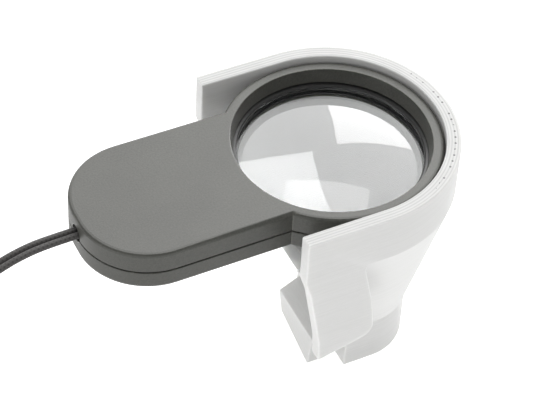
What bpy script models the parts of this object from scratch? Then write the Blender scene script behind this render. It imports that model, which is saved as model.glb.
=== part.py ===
"""Viewing loupe with a wrist cord, standing in a one-piece printed stand.

Frame: origin at the middle of the object's footprint on the table, +X from the handle's end
towards the lens, +Y across, +Z up. Lengths below are in millimetres; objects are built in
metres. Every piece is modelled around the lens axis, with z = 0 on the loupe's top face, and
is then placed by its location.
"""

import bpy
from math import asin, cos, degrees, pi, radians, sin, sqrt
from mathutils import Vector

MM = 0.001
GAP = 0.3                       # clearance between pieces that touch in the real object

# Loupe outline, seen from above
HEAD_R = 25.0
HANDLE_HALF_W = 17.3
HANDLE_END_X = -61.0
HANDLE_CORNER_R = 16.0

# Loupe, top to bottom
LOUPE_T = 10.2
SEAM_Z = -5.45
SHELL_WALL = 2.0
EDGE_ROUND = 0.9
SEAM_ROUND = 0.2

# Lens and what holds it
OPEN_R = 22.5
LIP_R = 21.7
LIP_Z = -3.4
BORE_R = 22.6
LENS_R = 21.3
LENS_EDGE_TOP_Z = -5.0
LENS_EDGE_T = 2.6
LENS_RISE = 3.4
LENS_HOLLOW = 0.7               # how far the underside curves up at the middle
RING_INNER_R = 20.9
SEAT_Z = -8.6
LOWER_OPEN_R = 20.0

# Screws and cord pin inside the handle
SCREW_SPOTS = [(-29.5, -11.0), (-29.5, 11.0), (-50.0, -9.0), (-50.0, 9.0)]
BOSS_R = 3.0
SCREW_R = 0.9
SCREW_HEAD_R = 1.8
CORD_PIN_X = -54.0
CORD_PIN_R = 1.4

# Cord
CORD_D = 1.5
CORD_Z = -4.6
CORD_HOLE_R = 2.0
COIL_X = -135.6
COIL_R = 8.25

# Stand
COLLAR_R = 28.6
COLLAR_INNER_R = HEAD_R + GAP
RIM_Z = 1.5
CONE_TOP_Z = -10.5
ARM_END_X = -20.0
SEAT_INNER_R = 23.6
TABLE_Z = -64.6
FOOT_TOP_Z = -52.0
FOOT_R = 12.9
FOOT_INNER_R = 8.9
FOOT_X = 8.6
FOOT_ARM_END_X = 1.0
CONE_FRONT_X = -1.1             # front edge of the cone where it meets the foot
FRONT_X = -5.9
FRONT_HALF_W = 8.9
FRONT_TOP_Z = -56.6
FRONT_TWIST = 0.9               # how far the front wall's lower corners stand off its top edge
FRONT_T = 2.4
RAMP_BACK_X = 3.0
RAMP_SLOPE = 0.53
FLAP_T = COLLAR_R - COLLAR_INNER_R

ORIGIN_X = (COLLAR_R - HANDLE_END_X) / 2 - COLLAR_R     # lens axis, seen from the frame's origin
PLACE = Vector((ORIGIN_X * MM, 0.0, -TABLE_Z * MM))


# ---------------------------------------------------------------- scene and materials

def clear_scene():
    for thing in list(bpy.data.objects):
        bpy.data.objects.remove(thing, do_unlink=True)


def make_collection(name):
    group = bpy.data.collections.new(name)
    bpy.context.scene.collection.children.link(group)
    return group


def make_material(name, colour, roughness, metallic=0.0, transmission=0.0):
    material = bpy.data.materials.new(name)
    material.use_nodes = True
    shader = material.node_tree.nodes["Principled BSDF"]
    shader.inputs["Base Color"].default_value = (*colour, 1.0)
    shader.inputs["Roughness"].default_value = roughness
    shader.inputs["Metallic"].default_value = metallic
    shader.inputs["Transmission Weight"].default_value = transmission
    material.diffuse_color = (*colour, 1.0)
    return material


clear_scene()
PARTS = make_collection("viewing_loupe")
CUTTERS = make_collection("cutters")


# ---------------------------------------------------------------- building blocks

def add_mesh(name, points, faces, group=None, material=None):
    """Link a mesh given in millimetres around the lens axis."""
    mesh = bpy.data.meshes.new(name)
    mesh.from_pydata([(x * MM, y * MM, z * MM) for x, y, z in points], [], faces)
    mesh.update()
    piece = bpy.data.objects.new(name, mesh)
    piece.location = PLACE
    (group or CUTTERS).objects.link(piece)
    if material:
        mesh.materials.append(material)
    if group is None:
        piece.hide_render = True
        piece.display_type = 'WIRE'
    return piece


def loft(name, low, high, low_z, high_z, group=None, material=None):
    """Closed solid between two outlines that have the same number of points, each running
    anticlockwise seen from above."""
    count = len(low)
    points = [(x, y, low_z) for x, y in low] + [(x, y, high_z) for x, y in high]
    faces = [(i, (i + 1) % count, count + (i + 1) % count, count + i) for i in range(count)]
    faces.append(tuple(reversed(range(count))))
    faces.append(tuple(range(count, 2 * count)))
    return add_mesh(name, points, faces, group, material)


def prism(name, outline, low_z, high_z, group=None, material=None):
    return loft(name, outline, outline, low_z, high_z, group, material)


def side_plate(name, outline, near_y, far_y, group=None, material=None):
    """Plate standing along X: the outline holds (x, z) pairs, anticlockwise seen from -Y."""
    count = len(outline)
    points = [(x, near_y, z) for x, z in outline] + [(x, far_y, z) for x, z in outline]
    faces = [(i, count + i, count + (i + 1) % count, (i + 1) % count) for i in range(count)]
    faces.append(tuple(range(count)))
    faces.append(tuple(reversed(range(count, 2 * count))))
    return add_mesh(name, points, faces, group, material)


def turned(name, profile, x=0.0, y=0.0, steps=96, group=None, material=None):
    """Turn a profile of (radius, z) pairs, listed down its outer side, about a vertical axis.
    A profile that starts and ends on the axis is left open there; any other is closed."""
    open_on_axis = profile[0][0] == 0 and profile[-1][0] == 0
    count = len(profile)
    edges = [(i, i + 1) for i in range(count - 1)]
    if not open_on_axis:
        edges.append((count - 1, 0))
    mesh = bpy.data.meshes.new(name)
    mesh.from_pydata([(r * MM, 0.0, z * MM) for r, z in profile], edges, [])
    if material:
        mesh.materials.append(material)
    piece = bpy.data.objects.new(name, mesh)
    piece.location = PLACE + Vector((x * MM, y * MM, 0.0))
    (group or CUTTERS).objects.link(piece)
    screw = piece.modifiers.new("turn", 'SCREW')
    screw.axis = 'Z'
    screw.steps = steps
    screw.render_steps = steps
    screw.use_merge_vertices = True
    screw.merge_threshold = 0.000001
    screw.use_smooth_shade = False
    if group is None:
        piece.hide_render = True
        piece.display_type = 'WIRE'
    return piece


def rod(name, radius, x, y, low_z, high_z, steps=32, group=None, material=None):
    return turned(name, [(0, high_z), (radius, high_z), (radius, low_z), (0, low_z)],
                  x, y, steps, group, material)


def combine(piece, other, operation):
    modifier = piece.modifiers.new(operation.lower() + "_" + other.name, 'BOOLEAN')
    modifier.operation = operation
    modifier.object = other
    modifier.solver = 'EXACT'


def cut(piece, cutter):
    combine(piece, cutter, 'DIFFERENCE')


def join(piece, addition):
    combine(piece, addition, 'UNION')


def smooth_by_angle(piece):
    """Shade the round walls smooth and leave the edges crisp, once the shape is settled."""
    depsgraph = bpy.context.evaluated_depsgraph_get()
    shape = bpy.data.meshes.new_from_object(piece.evaluated_get(depsgraph))
    piece.modifiers.clear()
    old = piece.data
    piece.data = shape
    piece.data.name = piece.name
    bpy.data.meshes.remove(old)
    piece.data.set_sharp_from_angle(angle=radians(35))
    piece.data.polygons.foreach_set("use_smooth", [True] * len(piece.data.polygons))
    piece.data.update()


# ---------------------------------------------------------------- outlines

def arc(centre_x, centre_y, radius, start, end, steps):
    """Points along an arc, from the start angle to the end angle in degrees."""
    points = []
    for i in range(steps + 1):
        angle = radians(start + (end - start) * i / steps)
        points.append((centre_x + radius * cos(angle), centre_y + radius * sin(angle)))
    return points


def loupe_outline():
    """Round head running into a parallel handle with a rounded end."""
    neck = degrees(asin(HANDLE_HALF_W / HEAD_R))
    corner_x = HANDLE_END_X + HANDLE_CORNER_R
    corner_y = HANDLE_HALF_W - HANDLE_CORNER_R
    outline = arc(0, 0, HEAD_R, neck - 180, 180 - neck, 96)
    outline += arc(corner_x, corner_y, HANDLE_CORNER_R, 90, 180, 20)
    outline += arc(corner_x, -corner_y, HANDLE_CORNER_R, 180, 270, 20)
    return outline


def cavity_outline():
    """Space inside the handle, one wall in from its outside."""
    corner_r = HANDLE_CORNER_R - SHELL_WALL
    corner_x = HANDLE_END_X + HANDLE_CORNER_R
    corner_y = HANDLE_HALF_W - HANDLE_CORNER_R
    half_w = HANDLE_HALF_W - SHELL_WALL
    front_x = -sqrt(HEAD_R ** 2 - HANDLE_HALF_W ** 2) - SHELL_WALL - 4.0
    outline = [(front_x, -half_w), (front_x, half_w)]
    outline += arc(corner_x, corner_y, corner_r, 90, 180, 16)
    outline += arc(corner_x, -corner_y, corner_r, 180, 270, 16)
    return outline


def horseshoe(radius, centre_x, end_x, steps=64):
    """Half circle towards +X, carried on by straight arms and closed straight at end_x."""
    return [(end_x, -radius)] + arc(centre_x, 0, radius, -90, 90, steps) + [(end_x, radius)]


# ---------------------------------------------------------------- loupe shells

def round_rims(piece, outline_count, top_round, bottom_round):
    """Bevel the outer edges of a prism's two end faces, each by its own width."""
    weights = piece.data.attributes.new("bevel_weight_edge", 'FLOAT', 'EDGE')
    widest = max(top_round, bottom_round)
    for edge in piece.data.edges:
        low = all(v < outline_count for v in edge.vertices)
        high = all(v >= outline_count for v in edge.vertices)
        if low:
            weights.data[edge.index].value = bottom_round / widest
        if high:
            weights.data[edge.index].value = top_round / widest
    bevel = piece.modifiers.new("round_rims", 'BEVEL')
    bevel.limit_method = 'WEIGHT'
    bevel.width = widest * MM
    bevel.segments = 3


def cord_hole():
    """Round hole through the handle's end, lying along X."""
    cutter = rod("cut_cord_hole", CORD_HOLE_R, 0, 0, -4.0, 4.0, 32)
    cutter.rotation_euler = (0.0, pi / 2, 0.0)
    cutter.location = PLACE + Vector((HANDLE_END_X * MM, 0.0, CORD_Z * MM))
    return cutter


def upper_shell(material):
    outline = loupe_outline()
    low_z = SEAM_Z + GAP / 2
    shell = prism("upper_shell", outline, low_z, 0.0, PARTS, material)
    round_rims(shell, len(outline), EDGE_ROUND, SEAM_ROUND)
    cut(shell, turned("cut_upper_recess", [
        (0, 1.0), (OPEN_R + 0.9, 1.0), (OPEN_R, 0.0), (LIP_R, LIP_Z), (BORE_R, LIP_Z),
        (BORE_R, low_z - 1.0), (0, low_z - 1.0)]))
    cut(shell, prism("cut_upper_cavity", cavity_outline(), low_z - 1.0, -SHELL_WALL))
    for index, (x, y) in enumerate(SCREW_SPOTS, 1):
        join(shell, rod("boss_upper_%d" % index, BOSS_R, x, y, low_z, -SHELL_WALL + 0.5))
        cut(shell, rod("cut_pilot_%d" % index, SCREW_R + GAP, x, y, low_z - 1.0, -1.7, 24))
    cut(shell, cord_hole())
    return shell


def lower_shell(material):
    outline = loupe_outline()
    high_z = SEAM_Z - GAP / 2
    floor_z = -LOUPE_T + SHELL_WALL
    shell = prism("lower_shell", outline, -LOUPE_T, high_z, PARTS, material)
    round_rims(shell, len(outline), SEAM_ROUND, EDGE_ROUND)
    cut(shell, turned("cut_lower_bore", [
        (0, high_z + 1.0), (LENS_R + GAP, high_z + 1.0), (LENS_R + GAP, SEAT_Z),
        (LOWER_OPEN_R, SEAT_Z),
        (LOWER_OPEN_R, -LOUPE_T + 1.2), (LOWER_OPEN_R + 2.2, -LOUPE_T - 1.0),
        (0, -LOUPE_T - 1.0)]))
    cut(shell, prism("cut_lower_cavity", cavity_outline(), floor_z, high_z + 1.0))
    for index, (x, y) in enumerate(SCREW_SPOTS, 1):
        join(shell, rod("boss_lower_%d" % index, BOSS_R, x, y, floor_z - 0.5, high_z))
        cut(shell, turned("cut_screw_%d" % index, [
            (0, high_z + 1.0), (SCREW_R + GAP, high_z + 1.0), (SCREW_R + GAP, floor_z),
            (SCREW_HEAD_R + 0.4, floor_z), (SCREW_HEAD_R + 0.4, -LOUPE_T - 1.0),
            (0, -LOUPE_T - 1.0)], x, y, 24))
    cut(shell, cord_hole())
    return shell


# ---------------------------------------------------------------- lens and its fixings

def cap_height(r, rise):
    """Height of a spherical cap over the lens's edge, at a distance from its axis."""
    ball_r = (LENS_R ** 2 + rise ** 2) / (2 * rise)
    return sqrt(ball_r ** 2 - r ** 2) - (ball_r - rise)


def lens(material):
    """Lens with a domed top, a short cylindrical edge and a slightly hollow underside."""
    low_z = LENS_EDGE_TOP_Z - LENS_EDGE_T
    steps = 14
    radii = [LENS_R * i / steps for i in range(steps + 1)]
    top = [(r, LENS_EDGE_TOP_Z + cap_height(r, LENS_RISE)) for r in radii]
    bottom = [(r, low_z + cap_height(r, LENS_HOLLOW)) for r in reversed(radii)]
    return turned("lens", top + bottom, group=PARTS, material=material)


def lens_ring(material):
    """Ring that clamps the lens from above, under the bezel's lip."""
    outer_r = BORE_R - GAP
    top_z = LIP_Z - GAP
    low_z = LENS_EDGE_TOP_Z + GAP + 0.15
    return turned("lens_ring", [
        (RING_INNER_R + 0.3, top_z), (outer_r, top_z), (outer_r, low_z),
        (RING_INNER_R, low_z), (RING_INNER_R, top_z - 0.3)], group=PARTS, material=material)


def lens_gasket(material):
    """Flat rubber ring between the lens edge and its seat."""
    top_z = LENS_EDGE_TOP_Z - LENS_EDGE_T - GAP
    low_z = SEAT_Z + GAP
    return turned("lens_gasket", [
        (LOWER_OPEN_R + 0.5, top_z), (LENS_R, top_z), (LENS_R, low_z),
        (LOWER_OPEN_R + 0.5, low_z)], group=PARTS, material=material)


def screw(index, x, y, material):
    """Pan-head self-tapping screw, driven upwards from the underside."""
    head_top = -LOUPE_T + SHELL_WALL - GAP
    head_low = head_top - 1.2
    tip_z = -2.1
    return turned("screw_%d" % index, [
        (0, tip_z), (SCREW_R * 0.4, tip_z), (SCREW_R, tip_z - 0.8), (SCREW_R, head_top),
        (SCREW_HEAD_R, head_top), (SCREW_HEAD_R, head_low + 0.5),
        (SCREW_HEAD_R - 0.5, head_low), (0.6, head_low), (0.6, head_low + 0.6),
        (0, head_low + 0.6)], x, y, 32, PARTS, material)


def cord_pin(material):
    """Steel pin standing across the handle's cavity, which the cord is looped round."""
    return rod("cord_pin", CORD_PIN_R, CORD_PIN_X, 0, -LOUPE_T + SHELL_WALL + GAP,
               -SHELL_WALL - GAP, 32, PARTS, material)


# ---------------------------------------------------------------- cord

def bezier(p0, p1, p2, p3, t):
    u = 1 - t
    return (p0 * u ** 3 + p1 * (3 * u * u * t) + p2 * (3 * u * t * t) + p3 * t ** 3)


def strand_points(side, count):
    """One strand, from beside the cord pin out of the handle and down to the coil."""
    turn_r = CORD_PIN_R + GAP + CORD_D / 2
    start = Vector((CORD_PIN_X, side * turn_r, CORD_Z))
    inside = Vector((HANDLE_END_X + 3.0, side * 0.95, CORD_Z))
    mouth = Vector((HANDLE_END_X - 1.0, side * 0.82, CORD_Z))
    table = TABLE_Z + CORD_D / 2 + 0.1
    land = Vector((-116.0, side * 1.3, table))
    end = Vector((COIL_X + COIL_R + 2.8, side * 1.2, table))
    points = [start, start.lerp(inside, 0.5), inside, inside.lerp(mouth, 0.5)]
    outer = count - 8
    for i in range(outer):
        points.append(bezier(mouth, mouth + Vector((-44, side * 0.2, 2.2)),
                             land + Vector((15, side * 0.1, 0)), land, i / outer))
    for i in range(5):
        points.append(land.lerp(end, i / 4))
    return points


def cord_strands(material):
    """Both strands and the turn round the cord pin, as one tube."""
    turn_r = CORD_PIN_R + GAP + CORD_D / 2
    near = strand_points(-1, 36)
    far = strand_points(1, 36)
    turn = [Vector((x, y, CORD_Z)) for x, y in arc(CORD_PIN_X, 0, turn_r, -60, 60, 4)]
    route = list(reversed(near)) + turn + far
    curve = bpy.data.curves.new("cord_strands", 'CURVE')
    curve.dimensions = '3D'
    curve.bevel_depth = CORD_D / 2 * MM
    curve.bevel_resolution = 2
    curve.use_fill_caps = True
    spline = curve.splines.new('POLY')
    spline.points.add(len(route) - 1)
    for point, place in zip(spline.points, route):
        point.co = (place.x * MM, place.y * MM, place.z * MM, 1.0)
    curve.materials.append(material)
    tube = bpy.data.objects.new("cord_strands", curve)
    tube.location = PLACE
    PARTS.objects.link(tube)
    return tube


def cord_coil(material):
    """The rest of the cord, coiled flat on the table: one turned ring for all its turns."""
    low_z = TABLE_Z
    high_z = TABLE_Z + 2 * CORD_D
    half = CORD_D
    return turned("cord_coil", [
        (COIL_R - half + 0.3, high_z), (COIL_R + half - 0.3, high_z),
        (COIL_R + half, high_z - 0.4), (COIL_R + half, low_z + 0.4),
        (COIL_R + half - 0.3, low_z), (COIL_R - half + 0.3, low_z),
        (COIL_R - half, low_z + 0.4), (COIL_R - half, high_z - 0.4)],
        COIL_X, 0, 64, PARTS, material)


# ---------------------------------------------------------------- stand

def flap_outline():
    """Side flap below a collar arm: front edge sloping back, rounded rear corner."""
    corner = arc(-5.4, -31.6, 3.4, -77, 0, 6)
    return ([(ARM_END_X, -1.0), (ARM_END_X, CONE_TOP_Z), (-18.6, -15.0), (-16.6, -26.0),
             (-15.6, -32.0), (-15.4, -37.8)] + corner
            + [(-2.5, -26.5), (-3.1, -22.5), (-5.4, -12.0), (-5.4, -1.0)])


def front_block():
    """Low front wall of the foot and the ramp behind it, which closes the cone's mouth."""
    ramp_top = FRONT_TOP_Z + RAMP_SLOPE * (RAMP_BACK_X - FRONT_X)
    side = [(FRONT_X, FRONT_TOP_Z), (FRONT_X, TABLE_Z), (FOOT_X, TABLE_Z), (FOOT_X, ramp_top),
            (RAMP_BACK_X, ramp_top)]
    block = side_plate("add_front", side, -FRONT_HALF_W, FRONT_HALF_W)
    for corner, shift in ((1, -FRONT_TWIST), (1 + len(side), FRONT_TWIST)):
        block.data.vertices[corner].co.x += shift * MM
    return block


def stand(material):
    """Collar, open-fronted cone, side flaps and foot, printed as one piece."""
    collar_plan = horseshoe(COLLAR_R, 0, ARM_END_X)
    piece = prism("stand", collar_plan, CONE_TOP_Z, RIM_Z, PARTS, material)
    join(piece, loft("add_cone", horseshoe(FOOT_R, FOOT_X, CONE_FRONT_X), collar_plan,
                     FOOT_TOP_Z, CONE_TOP_Z))
    join(piece, prism("add_foot", horseshoe(FOOT_R, FOOT_X, FOOT_ARM_END_X),
                      TABLE_Z, FOOT_TOP_Z + 0.2))
    join(piece, front_block())
    for side in (-1, 1):
        name = "add_flap_near" if side < 0 else "add_flap_far"
        edges = sorted((side * COLLAR_R, side * (COLLAR_R - FLAP_T)))
        join(piece, side_plate(name, flap_outline(), edges[0], edges[1]))
    cut(piece, prism("cut_collar", horseshoe(COLLAR_INNER_R, 0, ARM_END_X - 5),
                     CONE_TOP_Z, RIM_Z + 1))
    cut(piece, loft("cut_cone", horseshoe(FOOT_INNER_R, FOOT_X, RAMP_BACK_X),
                    horseshoe(SEAT_INNER_R, 0, ARM_END_X - 5), FOOT_TOP_Z,
                    CONE_TOP_Z + 0.01))
    cut(piece, prism("cut_bore", horseshoe(FOOT_INNER_R - 0.4, FOOT_X, RAMP_BACK_X),
                     TABLE_Z - 1, FOOT_TOP_Z + 1))
    slot_x = FRONT_X + FRONT_T
    slot_top = FRONT_TOP_Z - 1.6
    slot = [(slot_x, TABLE_Z - 1), (FOOT_ARM_END_X, TABLE_Z - 1),
            (FOOT_ARM_END_X, slot_top), (slot_x, slot_top)]
    cut(piece, side_plate("cut_slot", slot, -FOOT_R - 5, FOOT_R + 5))
    return piece


# ---------------------------------------------------------------- assembly

def main():
    dark = make_material("dark_plastic", (0.105, 0.105, 0.105), 0.55)
    black = make_material("black_plastic", (0.012, 0.012, 0.012), 0.4)
    glass = make_material("lens_glass", (0.93, 0.96, 0.95), 0.03, 0.0, 0.9)
    rubber = make_material("black_rubber", (0.015, 0.015, 0.015), 0.8)
    steel = make_material("screw_steel", (0.55, 0.55, 0.57), 0.35, 1.0)
    textile = make_material("cord_textile", (0.030, 0.026, 0.024), 0.85)
    white = make_material("white_print", (0.80, 0.80, 0.79), 0.6)

    pieces = [upper_shell(dark), lower_shell(dark), lens(glass), lens_ring(black),
              lens_gasket(rubber), cord_pin(steel)]
    for index, (x, y) in enumerate(SCREW_SPOTS, 1):
        pieces.append(screw(index, x, y, steel))
    pieces.append(cord_coil(textile))
    pieces.append(stand(white))
    for piece in pieces:
        smooth_by_angle(piece)
    cord_strands(textile)


main()
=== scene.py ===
"""Looks of the viewing loupe: studio, wrist cord, detailed pieces and procedural materials.

Lengths below are in millimetres in the row frame, unless a name says otherwise. The lens axis
stands at LENS_X, and the loupe's top face is at TOP_Z.
"""

import bmesh
import bpy
from math import cos, pi, radians, sin, sqrt
from mathutils import Matrix, Vector


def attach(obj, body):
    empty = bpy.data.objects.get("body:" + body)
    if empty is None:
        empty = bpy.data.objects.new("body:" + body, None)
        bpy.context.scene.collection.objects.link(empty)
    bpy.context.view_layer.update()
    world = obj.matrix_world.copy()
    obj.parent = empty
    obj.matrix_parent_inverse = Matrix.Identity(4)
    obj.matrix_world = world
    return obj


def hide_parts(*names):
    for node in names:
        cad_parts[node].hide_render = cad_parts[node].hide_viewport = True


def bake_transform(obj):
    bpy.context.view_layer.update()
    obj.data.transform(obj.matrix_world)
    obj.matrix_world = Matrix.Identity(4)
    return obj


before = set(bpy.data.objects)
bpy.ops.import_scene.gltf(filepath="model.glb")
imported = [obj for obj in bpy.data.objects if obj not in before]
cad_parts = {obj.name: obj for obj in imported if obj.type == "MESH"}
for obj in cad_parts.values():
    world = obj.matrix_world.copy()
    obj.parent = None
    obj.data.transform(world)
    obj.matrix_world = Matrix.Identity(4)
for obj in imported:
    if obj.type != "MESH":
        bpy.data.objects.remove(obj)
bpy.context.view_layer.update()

MM = 0.001
LENS_X = 16.2
TOP_Z = 64.6

# Camera
AZIMUTH = -28.16
ELEVATION = 45.9
ROLL = 3.32
DISTANCE = 475.9
TARGET = Vector((-19.7 + LENS_X, -7.94, -4.0 + TOP_Z))
LENS_MM = 148.2

# Studio
FLOOR_ALBEDO = 0.84
FLOOR_GLOW = 0.62
DOME = 0.42
SKY_GLOW = 0.8                  # added where the sky is brightest
SKY_AZIMUTH = 62.0
SKY_ELEVATION = 50.0
PANEL_RADIANCE = 1.9
WINDOW_RADIANCE = 6.0
WINDOW_DISTANCE = 1.0           # metres
WINDOW_FACING = 86.0            # azimuth at which the window's wall is nearest
WINDOW_LEFT = 60.5              # azimuth of its left edge, seen from the lens
WINDOW_RIGHT = 14.0
WINDOW_TOP = 41.0               # elevation of its left upper corner
WINDOW_LEAN = 7.0
TOP_LIGHT_RADIANCE = 3.6
FILL_RADIANCE = 1.8

# Cord
CORD_D = 1.5
CORD_PIN = Vector((-54.0 + LENS_X, 0.0, -4.6 + TOP_Z))
HANDLE_END_X = -61.0 + LENS_X
CORD_TURN_R = 2.45
COIL = Vector((-135.6 + LENS_X, 0.0, 0.0))
COIL_RADII = (9.0, 7.5)
COIL_TURNS = 3.5
COIL_LOW_Z = CORD_D / 2 + 0.1
COIL_HIGH_Z = COIL_LOW_Z + CORD_D + 0.03
LAND_X = -116.0 + LENS_X        # where the strands come down to the table
LAND_HALF_GAP = 1.3             # how far each strand is from the middle there
CORD_SPACING = 0.8              # between the rings of the tube's mesh

# Loupe
LENS_R = 21.3
LENS_RISE = 3.4
LENS_HOLLOW = 0.7
LENS_EDGE_T = 2.6
LENS_EDGE_TOP = TOP_Z - 5.0

# Edges, by the angle between their faces in degrees
CREASE_FROM = 14.0
ROUND_FROM = 30.0
SHELL_EDGE = 0.16
PRINT_EDGE = 0.35

# Printed stand
LAYER_HEIGHT = 0.3
TRAIL_PITCH = 0.7               # between the perimeter lines on its flat top
PINHOLE_RING_R = 27.2
PINHOLE_PITCH = 1.9
PINHOLE_R = 0.25
PINHOLES_FROM = -62.0           # bearings between which the row of pinholes runs
PINHOLES_TO = 22.0


# ---------------------------------------------------------------- camera

def camera():
    """A long-lens view from the handle's side, looking down, with a slight roll and no shift."""
    azimuth = radians(AZIMUTH)
    elevation = radians(ELEVATION)
    roll = radians(ROLL)
    back = Vector((sin(azimuth) * cos(elevation), -cos(azimuth) * cos(elevation), sin(elevation)))
    level = Vector((cos(azimuth), sin(azimuth), 0.0))
    rise = back.cross(level)
    right = level * cos(roll) + rise * sin(roll)
    up = rise * cos(roll) - level * sin(roll)
    data = bpy.data.cameras.new("camera")
    data.lens = LENS_MM
    data.sensor_width = 36.0
    data.clip_start = 0.01
    data.clip_end = 20.0
    view = bpy.data.objects.new("camera", data)
    turn = Matrix((right, up, back)).transposed().to_4x4()
    view.matrix_world = Matrix.Translation((TARGET + back * DISTANCE) * MM) @ turn
    bpy.context.scene.collection.objects.link(view)
    bpy.context.scene.camera = view


# ---------------------------------------------------------------- node helpers

class Nodes:
    """Short names for building one material's node tree."""

    def __init__(self, name):
        self.material = bpy.data.materials.new(name)
        self.material.use_nodes = True
        self.tree = self.material.node_tree
        self.shader = self.tree.nodes["Principled BSDF"]

    def link(self, source, socket):
        if hasattr(source, "is_output"):
            self.tree.links.new(source, socket)
        else:
            socket.default_value = source

    def math(self, operation, a, b=0.0, c=0.0, clamp=False):
        node = self.tree.nodes.new("ShaderNodeMath")
        node.operation = operation
        node.use_clamp = clamp
        for socket, value in zip(node.inputs, (a, b, c)):
            self.link(value, socket)
        return node.outputs[0]

    def position(self):
        """Object coordinates in millimetres from the lens axis and the table."""
        coords = self.tree.nodes.new("ShaderNodeTexCoord").outputs["Object"]
        scale = self.tree.nodes.new("ShaderNodeVectorMath")
        scale.operation = 'SCALE'
        scale.inputs["Scale"].default_value = 1.0 / MM
        self.tree.links.new(coords, scale.inputs[0])
        move = self.tree.nodes.new("ShaderNodeVectorMath")
        move.operation = 'SUBTRACT'
        move.inputs[1].default_value = (LENS_X, 0.0, 0.0)
        self.tree.links.new(scale.outputs[0], move.inputs[0])
        return move.outputs[0]

    def split(self, vector):
        node = self.tree.nodes.new("ShaderNodeSeparateXYZ")
        self.tree.links.new(vector, node.inputs[0])
        return node.outputs

    def stretch(self, vector, x, y, z):
        node = self.tree.nodes.new("ShaderNodeVectorMath")
        node.operation = 'MULTIPLY'
        node.inputs[1].default_value = (x, y, z)
        self.tree.links.new(vector, node.inputs[0])
        return node.outputs[0]

    def noise(self, vector, scale, detail=2.0, roughness=0.5):
        node = self.tree.nodes.new("ShaderNodeTexNoise")
        node.inputs["Scale"].default_value = scale
        node.inputs["Detail"].default_value = detail
        node.inputs["Roughness"].default_value = roughness
        self.tree.links.new(vector, node.inputs["Vector"])
        return node.outputs["Fac"]

    def remap(self, value, low, high, to_low, to_high):
        node = self.tree.nodes.new("ShaderNodeMapRange")
        for socket, number in zip(node.inputs[1:5], (low, high, to_low, to_high)):
            socket.default_value = number
        self.link(value, node.inputs[0])
        return node.outputs[0]

    def mix(self, factor, dark, light):
        """Colour between two, by a factor from 0 to 1."""
        node = self.tree.nodes.new("ShaderNodeMix")
        node.data_type = 'RGBA'
        self.link(factor, node.inputs[0])
        self.link(dark, node.inputs[6])
        self.link(light, node.inputs[7])
        return node.outputs[2]

    def bump(self, height, distance, strength=1.0):
        """Bump whose height value of 1 stands for a distance in millimetres."""
        node = self.tree.nodes.new("ShaderNodeBump")
        node.inputs["Distance"].default_value = distance * MM
        node.inputs["Strength"].default_value = strength
        self.link(height, node.inputs["Height"])
        self.tree.links.new(node.outputs[0], self.shader.inputs["Normal"])

    def facing_up(self, limit):
        """1 where the surface's own normal points upwards, else 0."""
        geometry = self.tree.nodes.new("ShaderNodeNewGeometry")
        up = self.split(geometry.outputs["True Normal"])[2]
        return self.math('GREATER_THAN', up, limit)

    def set(self, name, value):
        self.link(value, self.shader.inputs[name])


def grey(level, tint=(1.0, 1.0, 1.0)):
    return (level * tint[0], level * tint[1], level * tint[2], 1.0)


# ---------------------------------------------------------------- materials

def dark_plastic(name, shade, roughness):
    """Dark grey moulded plastic with a fine spark-eroded texture. Its copy for the rounded edges is
    smoother from wear and lighter as a painted highlight.
    """
    n = Nodes(name)
    place = n.position()
    grain = n.noise(place, 2.4, 3.0, 0.65)
    cloud = n.noise(place, 0.08, 2.0)
    tone = n.math('ADD', n.math('MULTIPLY', grain, 0.75), n.math('MULTIPLY', cloud, 0.25))
    n.set("Base Color", n.mix(n.remap(tone, 0.3, 0.7, 0.0, 1.0),
                              grey(shade * 0.66, (1.0, 1.01, 0.86)),
                              grey(shade * 1.34, (1.0, 1.01, 0.86))))
    n.set("Roughness", n.remap(grain, 0.3, 0.7, roughness - 0.06, roughness + 0.06))
    n.bump(grain, 0.03, 0.9)
    return n.material


def black_plastic():
    """Smooth black plastic of the clamping ring, slightly scuffed."""
    n = Nodes("black_plastic")
    place = n.position()
    scuff = n.noise(n.stretch(place, 1.0, 1.0, 6.0), 1.4, 4.0, 0.65)
    n.set("Base Color", n.mix(n.remap(scuff, 0.35, 0.75, 0.0, 1.0), grey(0.010), grey(0.022)))
    n.set("Roughness", n.remap(scuff, 0.3, 0.7, 0.28, 0.42))
    n.bump(scuff, 0.01, 0.5)
    return n.material


def lens_glass():
    """Clear glass with the faintest cool tint and wiping marks on its polish."""
    n = Nodes("lens_glass")
    place = n.position()
    smear = n.noise(n.stretch(place, 0.5, 1.6, 1.0), 0.12, 3.0, 0.6)
    n.set("Base Color", n.mix(n.remap(smear, 0.3, 0.7, 0.0, 1.0),
                              (0.965, 0.98, 0.985, 1.0), (0.99, 0.995, 1.0, 1.0)))
    n.set("Roughness", n.remap(smear, 0.45, 0.75, 0.0, 0.02))
    n.set("Transmission Weight", 1.0)
    n.set("IOR", 1.5)
    return n.material


def rubber():
    n = Nodes("black_rubber")
    grain = n.noise(n.position(), 7.0, 3.0, 0.6)
    n.set("Base Color", n.mix(grain, grey(0.012), grey(0.024)))
    n.set("Roughness", n.remap(grain, 0.3, 0.7, 0.7, 0.85))
    n.bump(grain, 0.01)
    return n.material


def steel():
    """Zinc-plated steel with turned marks round each screw."""
    n = Nodes("screw_steel")
    place = n.position()
    marks = n.noise(n.stretch(place, 1.0, 1.0, 9.0), 2.2, 3.0, 0.6)
    n.set("Base Color", n.mix(marks, grey(0.46, (1.0, 1.0, 1.02)), grey(0.64, (1.0, 1.0, 1.03))))
    n.set("Metallic", 1.0)
    n.set("Roughness", n.remap(marks, 0.3, 0.7, 0.24, 0.42))
    n.bump(marks, 0.008)
    return n.material


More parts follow.
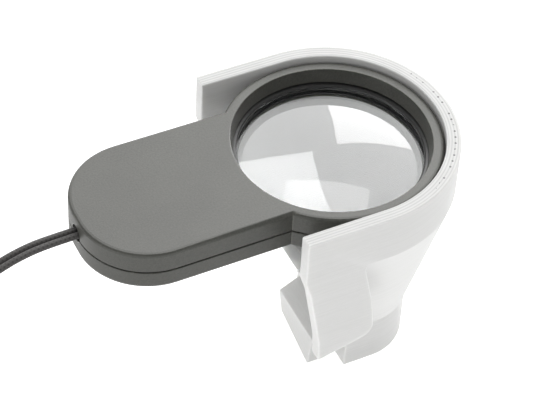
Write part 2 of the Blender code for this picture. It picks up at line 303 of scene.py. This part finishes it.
def textile():
    """Braided cord: two crossing sets of yarns, drawn along the tube's own UVs."""
    n = Nodes("cord_textile")
    coords = n.tree.nodes.new("ShaderNodeTexCoord").outputs["UV"]
    along, around, _ = n.split(coords)
    rising = n.math('SINE', n.math('MULTIPLY', n.math('ADD', along, around), 2 * pi))
    falling = n.math('SINE', n.math('MULTIPLY', n.math('SUBTRACT', along, around), 2 * pi))
    weave = n.math('MAXIMUM', rising, falling)
    fuzz = n.noise(n.position(), 9.0, 3.0, 0.7)
    height = n.math('ADD', n.math('MULTIPLY', weave, 0.5), n.math('MULTIPLY', fuzz, 0.6))
    n.set("Base Color", n.mix(n.remap(height, -0.2, 0.9, 0.0, 1.0),
                              grey(0.030, (1.0, 0.93, 0.90)), grey(0.070, (1.0, 0.95, 0.92))))
    n.set("Roughness", n.remap(fuzz, 0.3, 0.7, 0.6, 0.8))
    n.set("Sheen Weight", 0.25)
    n.set("Sheen Roughness", 0.4)
    n.bump(height, 0.05)
    return n.material


def white_print(name, shade):
    """White printed plastic: a ridge per layer up the walls, perimeter lines and a row of
    pinholes on the flat top. The flat top, the grooves between its lines and the pinholes
    carry painted shade."""
    n = Nodes(name)
    place = n.position()
    x, y, z = n.split(place)
    layer = n.math('SINE', n.math('MULTIPLY', z, 2 * pi / LAYER_HEIGHT))
    drift = n.noise(n.stretch(place, 0.03, 0.03, 2.6), 1.0, 2.0, 0.6)
    spread = n.noise(n.stretch(place, 1.0, 1.0, 4.0), 0.5, 3.0, 0.6)

    ahead = n.math('MAXIMUM', x, 0.0)
    radius = n.math('SQRT', n.math('ADD', n.math('MULTIPLY', ahead, ahead),
                                   n.math('MULTIPLY', y, y)))
    top = n.facing_up(0.95)
    trail = n.math('MULTIPLY', n.math('SINE', n.math('MULTIPLY', radius, 2 * pi / TRAIL_PITCH)), top)

    bearing = n.math('ARCTAN2', y, x)
    step = n.math('FRACT', n.math('MULTIPLY', bearing, PINHOLE_RING_R / PINHOLE_PITCH))
    beside = n.math('MULTIPLY', n.math('SUBTRACT', step, 0.5), PINHOLE_PITCH)
    off = n.math('SUBTRACT', radius, PINHOLE_RING_R)
    hole = n.math('SQRT', n.math('ADD', n.math('MULTIPLY', beside, beside),
                                 n.math('MULTIPLY', off, off)))
    sector = n.math('MULTIPLY', n.math('GREATER_THAN', bearing, radians(PINHOLES_FROM)),
                    n.math('LESS_THAN', bearing, radians(PINHOLES_TO)))
    present = n.math('MULTIPLY', n.math('GREATER_THAN', n.noise(place, 0.5, 1.0), 0.46), sector)
    pin = n.math('MULTIPLY', n.math('LESS_THAN', hole, PINHOLE_R), n.math('MULTIPLY', top, present))

    tone = n.math('ADD', n.math('MULTIPLY', drift, 0.6), n.math('MULTIPLY', spread, 0.4))
    body = n.mix(n.remap(tone, 0.35, 0.65, 0.0, 1.0),
                 grey(shade - 0.02, (1.0, 1.0, 0.985)), grey(shade + 0.02, (1.0, 1.0, 0.99)))
    # Painted shade: the grooves between the perimeter lines on the top are darkened to 0.60 of the
    # shade.
    groove_painted_shade = n.math('MULTIPLY', n.remap(trail, -1.0, 0.2, 1.0, 0.0), n.math('MULTIPLY', top, 0.55))
    # Faces that look up are darker (0.94 of the shade): painted shade that tones down the light
    # falling on the top.
    flat = n.mix(top, body, grey(shade * 0.94, (1.0, 1.0, 0.985)))
    lined = n.mix(groove_painted_shade, flat, grey(shade * 0.60))
    # The pinholes' dark grey (0.16) is painted shade inside the holes; the bump below sinks them.
    n.set("Base Color", n.mix(pin, lined, grey(0.16)))
    n.set("Roughness", n.remap(spread, 0.3, 0.7, 0.42, 0.6))
    n.set("Subsurface Weight", 0.6)
    n.set("Subsurface Radius", (1.0, 1.0, 0.95))
    n.set("Subsurface Scale", 1.6 * MM)
    ridges = n.math('ADD', n.math('MULTIPLY', layer, 0.12), n.math('MULTIPLY', drift, 0.6))
    height = n.math('ADD', n.math('ADD', ridges, n.math('MULTIPLY', trail, 0.5)),
                    n.math('MULTIPLY', pin, -3.0))
    n.bump(height, 0.02, 0.8)
    return n.material


def floor_surface():
    n = Nodes("floor")
    cloud = n.noise(n.position(), 0.004, 2.0)
    n.set("Base Color", n.mix(cloud, grey(FLOOR_ALBEDO - 0.01), grey(FLOOR_ALBEDO + 0.01)))
    n.set("Roughness", 0.9)
    n.set("Emission Color", (1.0, 1.0, 1.0, 1.0))
    n.set("Emission Strength", FLOOR_GLOW)
    return n.material


# ---------------------------------------------------------------- mesh helpers

def add_piece(name, mesh, material, body=None):
    """Link a piece in its material. One without a body stays unattached."""
    piece = bpy.data.objects.new(name, mesh)
    bpy.context.scene.collection.objects.link(piece)
    mesh.materials.clear()
    mesh.materials.append(material)
    if body:
        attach(piece, body)
    return piece


def mesh_from(name, points, faces, smooth=True):
    """Mesh from points in millimetres."""
    mesh = bpy.data.meshes.new(name)
    mesh.from_pydata([Vector(p) * MM for p in points], [], faces)
    mesh.polygons.foreach_set("use_smooth", [smooth] * len(mesh.polygons))
    mesh.update()
    return mesh


def turned(name, profile, x=0.0, y=0.0, steps=160, sharp=30.0):
    """Turn (radius, z) pairs, listed down the outer side, about a vertical axis."""
    rings = []
    points = []
    for r, z in profile:
        if r < 1e-6:
            rings.append([len(points)] * steps)
            points.append((x, y, z))
        else:
            rings.append(list(range(len(points), len(points) + steps)))
            points += [(x + r * cos(2 * pi * i / steps), y + r * sin(2 * pi * i / steps), z)
                       for i in range(steps)]
    closed = profile[0][0] > 1e-6
    pairs = list(zip(rings, rings[1:])) + ([(rings[-1], rings[0])] if closed else [])
    faces = []
    for upper, lower in pairs:
        for i in range(steps):
            j = (i + 1) % steps
            corners = [upper[i], lower[i], lower[j], upper[j]]
            face = [c for k, c in enumerate(corners) if c != corners[k - 1]]
            if len(face) > 2:
                faces.append(face)
    mesh = mesh_from(name, points, faces)
    mesh.set_sharp_from_angle(angle=radians(sharp))
    return mesh


def refined_copy(node, name, material, body, width, segments, painted_highlight_edge_material=None):
    """The CAD node's own shape with its hard edges rounded, in a material of their own or not. The
    edge materials passed in are lighter copies: a painted highlight along the rounded edges.
    """
    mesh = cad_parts[node].data.copy()
    mesh.name = name
    bm = bmesh.new()
    bm.from_mesh(mesh)
    bmesh.ops.remove_doubles(bm, verts=bm.verts, dist=0.000002)
    bmesh.ops.dissolve_limit(bm, angle_limit=radians(0.4), verts=bm.verts, edges=bm.edges)
    for edge in bm.edges:
        edge.smooth = not radians(CREASE_FROM) < edge.calc_face_angle(0.0) < radians(ROUND_FROM)
    bm.to_mesh(mesh)
    bm.free()
    if "custom_normal" in mesh.attributes:
        mesh.attributes.remove(mesh.attributes["custom_normal"])
    mesh.polygons.foreach_set("use_smooth", [True] * len(mesh.polygons))
    piece = add_piece(name, mesh, material, body)
    bevel = piece.modifiers.new("round_edges", 'BEVEL')
    bevel.limit_method = 'ANGLE'
    bevel.angle_limit = radians(ROUND_FROM)
    bevel.width = width * MM
    bevel.segments = segments
    bevel.use_clamp_overlap = False
    bevel.miter_outer = 'MITER_ARC'
    # The rounded edges take the lighter copy, which paints a highlight along them.
    if painted_highlight_edge_material:
        mesh.materials.append(painted_highlight_edge_material)
        bevel.material = 1
    normals = piece.modifiers.new("weighted", 'WEIGHTED_NORMAL')
    normals.keep_sharp = True
    normals.weight = 80
    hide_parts(node)
    return piece


# ---------------------------------------------------------------- cord

def bezier(p0, p1, p2, p3, t):
    u = 1 - t
    return p0 * u ** 3 + p1 * (3 * u * u * t) + p2 * (3 * u * t * t) + p3 * t ** 3


def strand_points(side):
    """One strand's route from beside the cord pin, out of the handle and down to the coil."""
    start = CORD_PIN + Vector((0.0, side * CORD_TURN_R, 0.0))
    inside = Vector((HANDLE_END_X + 3.0, side * 0.95, CORD_PIN.z))
    mouth = Vector((HANDLE_END_X - 1.0, side * 0.82, CORD_PIN.z))
    land = Vector((LAND_X, side * LAND_HALF_GAP, COIL_LOW_Z))
    points = [start, start.lerp(inside, 0.5), inside]
    for i in range(14):
        points.append(bezier(mouth, mouth + Vector((-44, side * 0.2, 2.2)),
                             land + Vector((15, side * 0.1, 0)), land, i / 13))
    return points


def approach(side, coil_z):
    """Points that lead one strand sideways from its landing place to the coil, tangentially."""
    # shares of the way along, across and up
    steps = ((0.26, 0.18, 0.06), (0.50, 0.56, 0.42), (0.75, 0.93, 0.88))
    points = []
    for along, across, lift in steps:
        points.append(Vector((LAND_X + (COIL.x - LAND_X) * along,
                              side * (LAND_HALF_GAP
                                      + (COIL_RADII[0] - LAND_HALF_GAP) * across),
                              COIL_LOW_Z + (coil_z - COIL_LOW_Z) * lift)))
    return points


def coil_points():
    """Three and a half turns of the put-away length: two rings beside each other, on two levels.
    They start where the near strand arrives and end where the far strand leaves."""
    per_turn = 16
    outer, inner = COIL_RADII
    levels = [(outer, COIL_LOW_Z), (inner, COIL_LOW_Z), (inner, COIL_HIGH_Z), (outer, COIL_HIGH_Z)]
    turns = []
    for i in range(round(per_turn * COIL_TURNS) + 1):
        lap, step = divmod(i, per_turn)
        radius, z = levels[lap]
        next_radius, next_z = levels[min(lap + 1, len(levels) - 1)]
        angle = 2 * pi * step / per_turn
        share = max(0.0, (step - per_turn * 0.75) / (per_turn * 0.25))
        r = radius + (next_radius - radius) * share
        turns.append(COIL + Vector((-r * sin(angle), -r * cos(angle), z + (next_z - z) * share)))
    return turns


def cord_route():
    """The closed loop as one line: pin, near strand, coil, far strand, pin."""
    near = strand_points(-1) + approach(-1, COIL_LOW_Z)
    far = strand_points(1) + approach(1, COIL_HIGH_Z)
    return near + coil_points() + list(reversed(far))


def smooth_line(points, spacing):
    """Evenly spaced points on a Catmull-Rom curve through the route."""
    dense = []
    for i in range(len(points) - 1):
        p0 = points[max(i - 1, 0)]
        p1, p2 = points[i], points[i + 1]
        p3 = points[min(i + 2, len(points) - 1)]
        for k in range(12):
            t = k / 12
            dense.append(0.5 * ((2 * p1) + (p2 - p0) * t + (2 * p0 - 5 * p1 + 4 * p2 - p3) * t ** 2
                                + (3 * p1 - p0 - 3 * p2 + p3) * t ** 3))
    dense.append(points[-1])
    along = [0.0]
    for a, b in zip(dense, dense[1:]):
        along.append(along[-1] + (b - a).length)
    count = round(along[-1] / spacing)
    line = []
    k = 0
    for i in range(count + 1):
        want = along[-1] * i / count
        while k < len(dense) - 2 and along[k + 1] < want:
            k += 1
        share = (want - along[k]) / max(along[k + 1] - along[k], 1e-9)
        line.append(dense[k].lerp(dense[k + 1], min(max(share, 0.0), 1.0)))
    return line, along[-1]


def tube(name, line, radius, sides=14, pitch=1.0, yarns=4):
    """Tube along a line, with UVs that count braid pitches along it and yarns round it."""
    points = []
    normal = Vector((0.0, 0.0, 1.0))
    for i, place in enumerate(line):
        tangent = (line[min(i + 1, len(line) - 1)] - line[max(i - 1, 0)]).normalized()
        normal = (normal - tangent * normal.dot(tangent)).normalized()
        across = tangent.cross(normal)
        for k in range(sides):
            angle = 2 * pi * k / sides
            points.append(place + (normal * cos(angle) + across * sin(angle)) * radius)
    faces = []
    uvs = []
    step = (line[1] - line[0]).length
    for i in range(len(line) - 1):
        for k in range(sides):
            j = (k + 1) % sides
            faces.append((i * sides + k, i * sides + j, (i + 1) * sides + j, (i + 1) * sides + k))
            u0, u1 = i * step / pitch, (i + 1) * step / pitch
            v0, v1 = k * yarns / sides, (k + 1) * yarns / sides
            uvs += [(u0, v0), (u0, v1), (u1, v1), (u1, v0)]
    last = (len(line) - 1) * sides
    faces.append(tuple(reversed(range(sides))))
    faces.append(tuple(range(last, last + sides)))
    uvs += [(0.0, 0.0)] * (2 * sides)
    mesh = mesh_from(name, points, faces)
    layer = mesh.uv_layers.new(name="UVMap")
    for loop, uv in zip(layer.data, uvs):
        loop.uv = uv
    return mesh


def cord(material):
    """The whole cord, as one tube attached to no body, so its handle end is not lifted with the
    loupe; its coil, like the stand, stays on the table, and its tie goes with the stand."""
    line, length = smooth_line(cord_route(), CORD_SPACING)
    piece = add_piece("wrist_cord", tube("wrist_cord", line, CORD_D / 2), material)
    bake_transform(piece)
    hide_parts("cord_strands", "cord_coil")
    tie = cord_tie(material)


def cord_tie(material):
    """Thin band wrapped once round the coil's turns, on the side away from the handle."""
    middle = sum(COIL_RADII) / 2
    half_w = CORD_D + 0.35
    high = 2 * CORD_D + 0.55
    outline = []
    for i in range(32):
        angle = 2 * pi * i / 32
        outline.append((middle + half_w * cos(angle) * (1.0 - 0.12 * abs(sin(2 * angle))),
                        (high + 0.1) / 2 + (high - 0.1) / 2 * sin(angle)))
    points = []
    for x, edge in ((-1.0, 0.0), (-0.7, 0.14), (0.7, 0.14), (1.0, 0.0)):
        for r, z in outline:
            lift = 1.0 + edge / half_w
            points.append(COIL + Vector((-(middle + (r - middle) * lift), x,
                                         max(0.05, high / 2 + (z - high / 2) * lift))))
    faces = []
    count = len(outline)
    for ring in range(3):
        for i in range(count):
            j = (i + 1) % count
            faces.append((ring * count + i, ring * count + j,
                          (ring + 1) * count + j, (ring + 1) * count + i))
    mesh = mesh_from("cord_tie", points, faces)
    piece = add_piece("cord_tie", mesh, material, "stand")
    solid = piece.modifiers.new("thickness", 'SOLIDIFY')
    solid.thickness = 0.12 * MM
    return piece


# ---------------------------------------------------------------- lens and its fixings

def cap_height(r, rise):
    """Height of a spherical cap over the lens's edge, at a distance from its axis."""
    ball_r = (LENS_R ** 2 + rise ** 2) / (2 * rise)
    return sqrt(ball_r ** 2 - r ** 2) - (ball_r - rise)


def lens(material):
    """Domed lens, fine enough to refract without facets, with a small edge chamfer."""
    steps = 56
    radii = [(LENS_R - 0.15) * i / steps for i in range(steps + 1)]
    low = LENS_EDGE_TOP - LENS_EDGE_T
    top = [(r, LENS_EDGE_TOP + cap_height(r, LENS_RISE)) for r in radii]
    rim = [(LENS_R, LENS_EDGE_TOP - 0.12), (LENS_R, low + 0.12)]
    bottom = [(r, low + cap_height(r, LENS_HOLLOW)) for r in reversed(radii)]
    mesh = turned("lens_polished", top + rim + bottom, LENS_X, 0.0, 192)
    piece = add_piece("lens_polished", mesh, material, "loupe")
    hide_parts("lens")


# ---------------------------------------------------------------- studio

def floor():
    mesh = bpy.data.meshes.new("floor")
    bm = bmesh.new()
    bmesh.ops.create_grid(bm, x_segments=8, y_segments=8, size=3.0)
    bm.to_mesh(mesh)
    bm.free()
    piece = bpy.data.objects.new("floor", mesh)
    bpy.context.scene.collection.objects.link(piece)
    mesh.materials.append(floor_surface())


def area_light(name, place, outward, width, height, radiance, lean=0.0, lights_matt=True):
    """Rectangular light that shines against outward, with its width level before the lean. No
    view shows the rectangle itself, and it can be left to reflections alone."""
    data = bpy.data.lights.new(name, 'AREA')
    data.shape = 'RECTANGLE'
    data.size = width
    data.size_y = height
    data.energy = radiance * pi * width * height
    light = bpy.data.objects.new(name, data)
    across = Vector((0.0, 0.0, 1.0)).cross(outward).normalized()
    rise = outward.cross(across)
    turn = Matrix((across, rise, outward)).transposed().to_4x4()
    light.matrix_world = Matrix.Translation(place) @ turn @ Matrix.Rotation(radians(lean), 4, 'Z')
    light.visible_camera = False
    light.visible_diffuse = lights_matt
    bpy.context.scene.collection.objects.link(light)


def toward(azimuth, elevation):
    """Unit vector to a place in the sky, both angles in degrees, azimuth from +X."""
    around = radians(azimuth)
    up = radians(elevation)
    return Vector((cos(around) * cos(up), sin(around) * cos(up), sin(up)))


def window_light():
    """Tall window behind the object to the right, mirrored in both faces of the lens. It is there
    for reflections only, so that the stand's far side isn't washed out."""
    left = radians(WINDOW_FACING - WINDOW_LEFT)
    right = radians(WINDOW_FACING - WINDOW_RIGHT)
    near_side = WINDOW_DISTANCE * sin(left) / cos(left)
    far_side = WINDOW_DISTANCE * sin(right) / cos(right)
    lift = WINDOW_DISTANCE / cos(left) * sin(radians(WINDOW_TOP)) / cos(radians(WINDOW_TOP))
    low = 0.03
    top = TOP_Z * MM + lift
    facing = radians(WINDOW_FACING)
    outward = Vector((cos(facing), sin(facing), 0.0))
    along = Vector((sin(facing), -cos(facing), 0.0))
    place = outward * WINDOW_DISTANCE + along * (near_side + far_side) / 2
    place += Vector((LENS_X * MM, 0.0, (top + low) / 2))
    area_light("window", place, outward, far_side - near_side, top - low, WINDOW_RADIANCE,
               WINDOW_LEAN, lights_matt=False)


def top_light():
    """Softbox overhead and a little behind, which draws the line along the rounded edges."""
    outward = Vector((0.10, 0.16, 1.0)).normalized()
    area_light("top_light", outward * 1.1, outward, 0.55, 0.55, TOP_LIGHT_RADIANCE)


def sky_panel():
    """Broad panel over the far side that the satin plastic mirrors, also for reflections only."""
    outward = toward(SKY_AZIMUTH, SKY_ELEVATION)
    area_light("sky_panel", outward * 1.2, outward, 2.0, 2.0, PANEL_RADIANCE, lights_matt=False)


def fill_light():
    """Soft light from the left, which reaches through the cone's open mouth."""
    outward = Vector((-0.95, -0.20, 0.22)).normalized()
    area_light("fill_light", outward * 0.7, outward, 0.35, 0.30, FILL_RADIANCE)


def dome():
    """Pale surroundings that grow brighter towards the upper far side."""
    world = bpy.data.worlds.new("studio")
    world.use_nodes = True
    tree = world.node_tree
    coords = tree.nodes.new("ShaderNodeTexCoord")
    along = tree.nodes.new("ShaderNodeVectorMath")
    along.operation = 'DOT_PRODUCT'
    along.inputs[1].default_value = toward(SKY_AZIMUTH, SKY_ELEVATION)
    tree.links.new(coords.outputs["Generated"], along.inputs[0])
    ramp = tree.nodes.new("ShaderNodeMapRange")
    ramp.interpolation_type = 'SMOOTHSTEP'
    for socket, number in zip(ramp.inputs[1:5], (0.3, 1.0, DOME, DOME + SKY_GLOW)):
        socket.default_value = number
    tree.links.new(along.outputs["Value"], ramp.inputs["Value"])
    background = tree.nodes["Background"]
    background.inputs["Color"].default_value = (1.0, 1.0, 1.0, 1.0)
    tree.links.new(ramp.outputs["Result"], background.inputs["Strength"])
    bpy.context.scene.world = world


# ---------------------------------------------------------------- the whole scene

def give(node, material):
    """A better material for a CAD node that keeps its shape."""
    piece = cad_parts[node]
    for slot in piece.material_slots:
        slot.material = material


camera()
bpy.context.scene.view_settings.view_transform = 'Standard'

cord(textile())

plastic = dark_plastic("dark_plastic", 0.054, 0.45)
# Edge copy: the lower roughness is wear polish, and the lighter shade (0.09 against 0.054) is a
# painted highlight along the rounded edges.
wear_and_painted_highlight = dark_plastic("dark_plastic_edge_wear_and_painted_highlight", 0.09, 0.22)
refined_copy("upper_shell", "upper_shell_moulded", plastic, "loupe", SHELL_EDGE, 2, wear_and_painted_highlight)
refined_copy("lower_shell", "lower_shell_moulded", plastic, "loupe", SHELL_EDGE, 2, wear_and_painted_highlight)
# The stand's rounded edges get a lighter white (0.72 against 0.68): a painted highlight along them.
refined_copy("stand", "stand_printed", white_print("white_print", 0.68), "stand",
             PRINT_EDGE, 3, white_print("white_print_edge_painted_highlight", 0.72))
lens(lens_glass())
give("lens_ring", black_plastic())
give("lens_gasket", rubber())
metal = steel()
give("cord_pin", metal)
for number in range(1, 5):
    give("screw_%d" % number, metal)

floor()
window_light()
top_light()
sky_panel()
fill_light()
dome()
